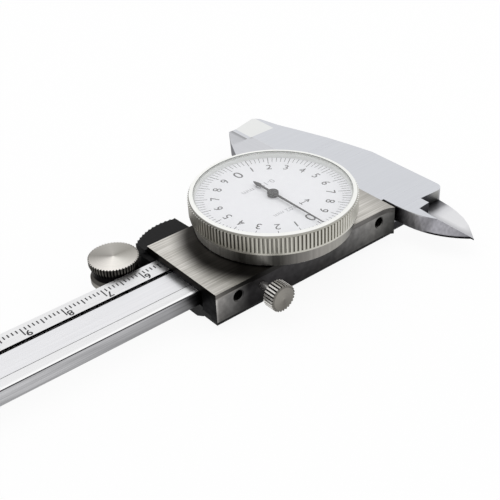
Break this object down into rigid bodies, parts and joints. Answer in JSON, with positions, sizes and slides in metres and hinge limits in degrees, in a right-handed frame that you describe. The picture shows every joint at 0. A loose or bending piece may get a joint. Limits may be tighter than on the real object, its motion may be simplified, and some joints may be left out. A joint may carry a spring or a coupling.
{
  "type": "dial caliper",
  "caption": "Dial caliper for 0 to 150 mm with outside jaws, inside blades, a depth rod, a turning bezel, a lock screw and a thumb roller.",
  "frame": {"origin": "corner where the fixed jaw's measuring plane meets the beam's scale edge, at the back face of the beam, with the jaws closed", "axes": "+X along the beam from the fixed jaw to the free end, +Y across the beam towards the inside blades, +Z out of the dial"},
  "size_m": [0.2338, 0.0806, 0.0183],
  "materials": {
    "ground_steel": "satin ground",
    "bright_steel": "bright satin",
    "frame_steel": "brushed",
    "screw_steel": "dark turned",
    "case_metal": "dark satin",
    "bezel_metal": "satin plated",
    "black_plastic": "moulded",
    "dial_enamel": "white matt",
    "needle_black": "black",
    "clear_crystal": "clear",
    "brass": "machined",
    "bronze": "rolled"
  },
  "bodies": {
    "beam_body": {"beam": "ground_steel", "rack": "bright_steel", "rack_cover": "bright_steel", "end_stop": "bright_steel", "end_stop_screws": "screw_steel"},
    "slider_body": {"slider": "frame_steel", "top_plate": "frame_steel", "gib": "bronze", "gib_screws": "screw_steel", "back_cover": "black_plastic", "back_cover_screws": "screw_steel", "depth_rod": "bright_steel", "depth_rod_screws": "screw_steel", "thumb_rest": "black_plastic", "thumb_rest_screws": "screw_steel", "dial_case": "case_metal", "case_screws": "screw_steel", "bezel_ring": "bright_steel", "arbor_bush": "brass", "movement_base": "brass", "movement_pillars": "brass", "movement_bridge": "brass", "bridge_screws": "screw_steel"},
    "drive_body": {"drive_arbor": "brass", "drive_wheel": "brass", "take_up_wheel": "brass", "take_up_spring": "bright_steel"},
    "needle_body": {"centre_pinion": "bright_steel", "needle": "needle_black"},
    "bezel_body": {"bezel": "bezel_metal", "dial_face": "dial_enamel", "crystal_spacer": "dial_enamel", "crystal": "clear_crystal"},
    "roller_body": {"thumb_roller": "frame_steel", "roller_screw": "screw_steel"},
    "lock_body": {"lock_screw": "frame_steel"}
  },
  "joints": [
    {"name": "slider_slide", "type": "slide", "parent": "beam_body", "child": "slider_body", "axis": [1, 0, 0], "range_m": [0, 0.15]},
    {"name": "drive_turn", "type": "hinge", "parent": "slider_body", "child": "drive_body", "pos_m": [0.03086, 0.00543, 0.005], "axis": [0, 0, 1], "range_deg": [-5, 5405]},
    {"name": "needle_turn", "type": "hinge", "parent": "slider_body", "child": "needle_body", "pos_m": [0.0257, 0.008, 0.01], "axis": [0, 0, 1], "range_deg": [-27005, 5]},
    {"name": "bezel_turn", "type": "hinge", "parent": "slider_body", "child": "bezel_body", "pos_m": [0.0257, 0.008, 0.012], "axis": [0, 0, 1], "continuous": true},
    {"name": "roller_turn", "type": "hinge", "parent": "slider_body", "child": "roller_body", "pos_m": [0.0619, -0.00585, 0.002], "axis": [0, 0, 1], "range_deg": [-5, 1487]},
    {"name": "lock_turn", "type": "hinge", "parent": "slider_body", "child": "lock_body", "pos_m": [0.0413, 0.0222, 0.00252], "axis": [0, 1, 0], "range_deg": [-30, 360]}
  ],
  "couplings": [
    {"joint": "drive_turn", "follows": "slider_slide", "rad_per_m": 628.32},
    {"joint": "needle_turn", "follows": "slider_slide", "rad_per_m": -3141.6},
    {"joint": "roller_turn", "follows": "slider_slide", "rad_per_m": 172.41}
  ]
}
